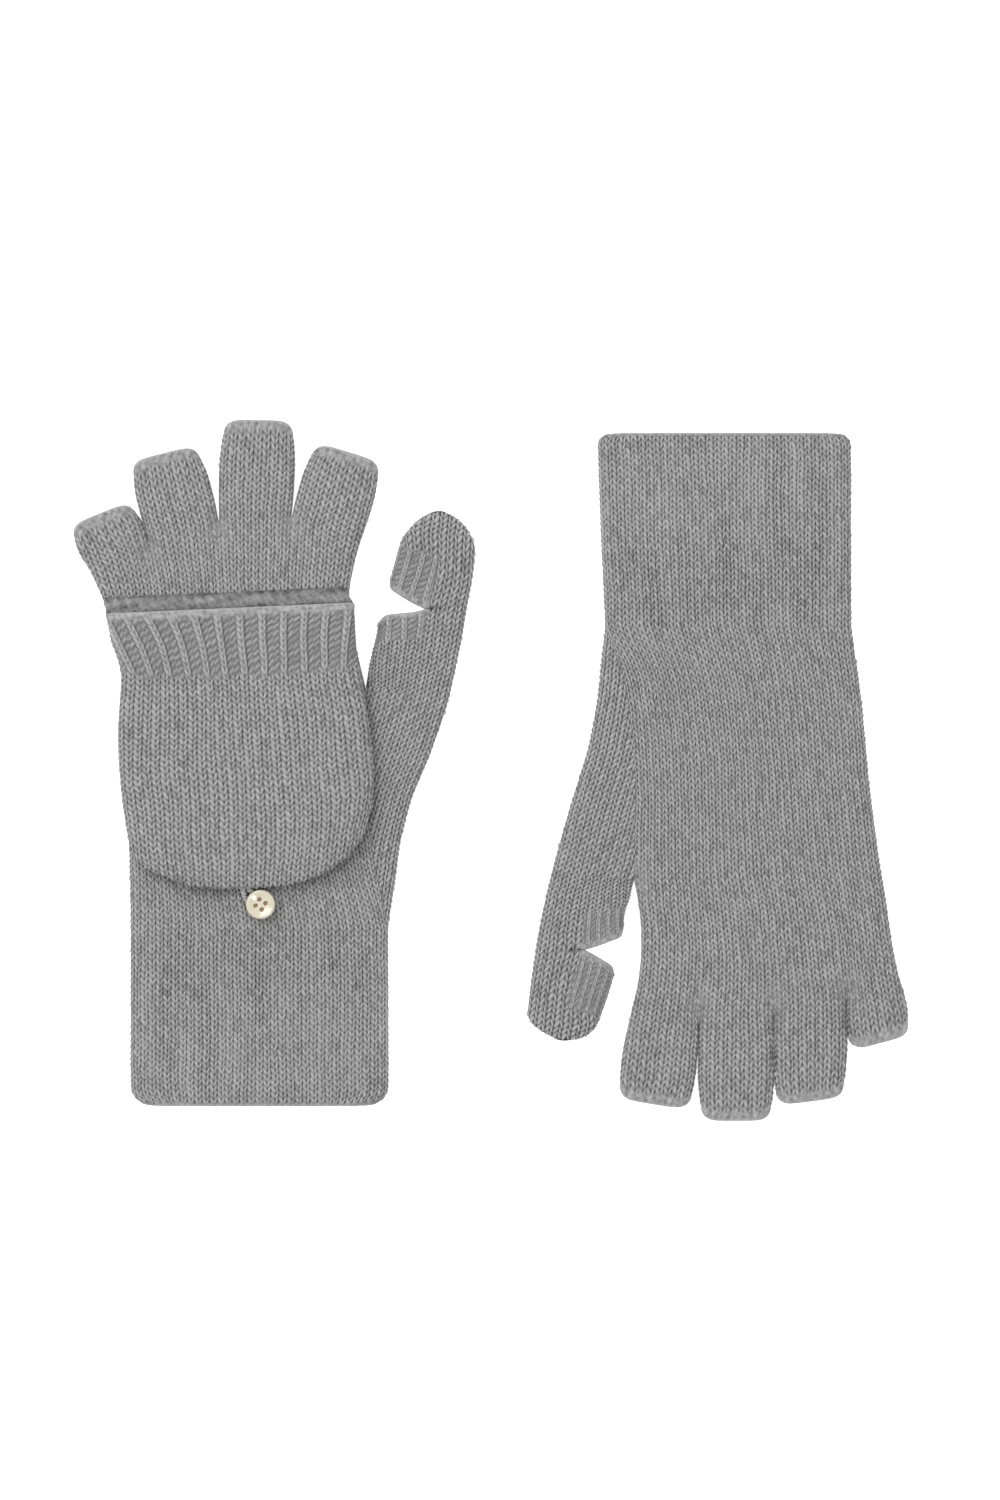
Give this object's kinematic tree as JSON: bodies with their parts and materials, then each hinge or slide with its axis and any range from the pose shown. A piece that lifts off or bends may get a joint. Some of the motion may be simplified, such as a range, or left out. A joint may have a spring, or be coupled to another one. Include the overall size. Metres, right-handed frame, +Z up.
{
  "type": "convertible flip-top mittens",
  "caption": "Pair of knitted half-finger gloves whose mitten cap folds back over the hand and buttons down, with a slit thumb tip",
  "frame": {"origin": "centre of the footprint of the pair, on the surface that it rests on", "axes": "+X across the pair from the left glove to the right glove, +Y from the left glove's cuff to its fingers, +Z up from the surface"},
  "size_m": [0.2988, 0.2498, 0.0163],
  "materials": {
    "hand_knit": "soft heather grey cashmere stockinette, matt and slightly fuzzy",
    "cap_knit": "the same yarn, stockinette with a ribbed hem",
    "loop_cord": "two strands of the same yarn twisted into a cord",
    "button_shell": "polished cream shell with a soft pearl sheen",
    "sewing_thread": "matt beige sewing thread"
  },
  "bodies": {
    "left_glove": {"left_cuff": "hand_knit", "left_hand": "hand_knit", "left_thumb_gusset": "hand_knit", "left_thumb_tube": "hand_knit", "left_index_tube": "hand_knit", "left_middle_tube": "hand_knit", "left_ring_tube": "hand_knit", "left_little_tube": "hand_knit", "left_button_thread": "sewing_thread"},
    "left_mitten_cap": {"left_cap_back_panel": "cap_knit", "left_cap_palm_panel": "cap_knit", "left_cap_hem": "cap_knit"},
    "left_thumb_tip": {"left_thumb_cap": "hand_knit"},
    "left_loop": {"left_button_loop": "loop_cord"},
    "left_button_disc": {"left_button": "button_shell"},
    "right_glove": {"right_cuff": "hand_knit", "right_hand": "hand_knit", "right_thumb_gusset": "hand_knit", "right_thumb_tube": "hand_knit", "right_index_tube": "hand_knit", "right_middle_tube": "hand_knit", "right_ring_tube": "hand_knit", "right_little_tube": "hand_knit", "right_button_thread": "sewing_thread"},
    "right_mitten_cap": {"right_cap_back_panel": "cap_knit", "right_cap_palm_panel": "cap_knit", "right_cap_hem": "cap_knit"},
    "right_thumb_tip": {"right_thumb_cap": "hand_knit"},
    "right_loop": {"right_button_loop": "loop_cord"},
    "right_button_disc": {"right_button": "button_shell"}
  },
  "joints": [
    {"name": "left_cap_flip", "type": "hinge", "parent": "left_glove", "child": "left_mitten_cap", "pos_m": [-0.09383, 0.0578, 0.0125], "axis": [-0.999, -0.0449, 0], "range_deg": [0, 180]},
    {"name": "left_thumb_flip", "type": "hinge", "parent": "left_glove", "child": "left_thumb_tip", "pos_m": [-0.00816, 0.0583, 0.0042], "axis": [0, 0, -1], "range_deg": [-16, 110]},
    {"name": "left_loop_lift", "type": "hinge", "parent": "left_mitten_cap", "child": "left_loop", "pos_m": [-0.08776, -0.0445, 0.00955], "axis": [-0.6569, -0.7539, 0], "range_deg": [0, 80], "deforming": ["left_button_loop"]},
    {"name": "left_button_turn", "type": "hinge", "parent": "left_glove", "child": "left_button_disc", "pos_m": [-0.08306, -0.0486, 0.0123], "axis": [0, 0, 1], "range_deg": [-40, 40]},
    {"name": "right_glove_lift", "type": "slide", "parent": "left_glove", "child": "right_glove", "axis": [0, 0, 1], "range_m": [0, 0.05]},
    {"name": "right_cap_flip", "type": "hinge", "parent": "right_glove", "child": "right_mitten_cap", "pos_m": [0.09696, -0.0571, 0.0038], "axis": [-0.9993, -0.037, 0], "range_deg": [0, 180]},
    {"name": "right_thumb_flip", "type": "hinge", "parent": "right_glove", "child": "right_thumb_tip", "pos_m": [0.01414, -0.0642, 0.0121], "axis": [0, 0, -1], "range_deg": [-19, 110]},
    {"name": "right_loop_lift", "type": "hinge", "parent": "right_mitten_cap", "child": "right_loop", "pos_m": [0.08714, 0.0449, 0.00675], "axis": [-0.6569, -0.7539, 0], "range_deg": [0, 80], "deforming": ["right_button_loop"]},
    {"name": "right_button_turn", "type": "hinge", "parent": "right_glove", "child": "right_button_disc", "pos_m": [0.08244, 0.049, 0.004], "axis": [0, 0, 1], "range_deg": [-40, 40]}
  ]
}
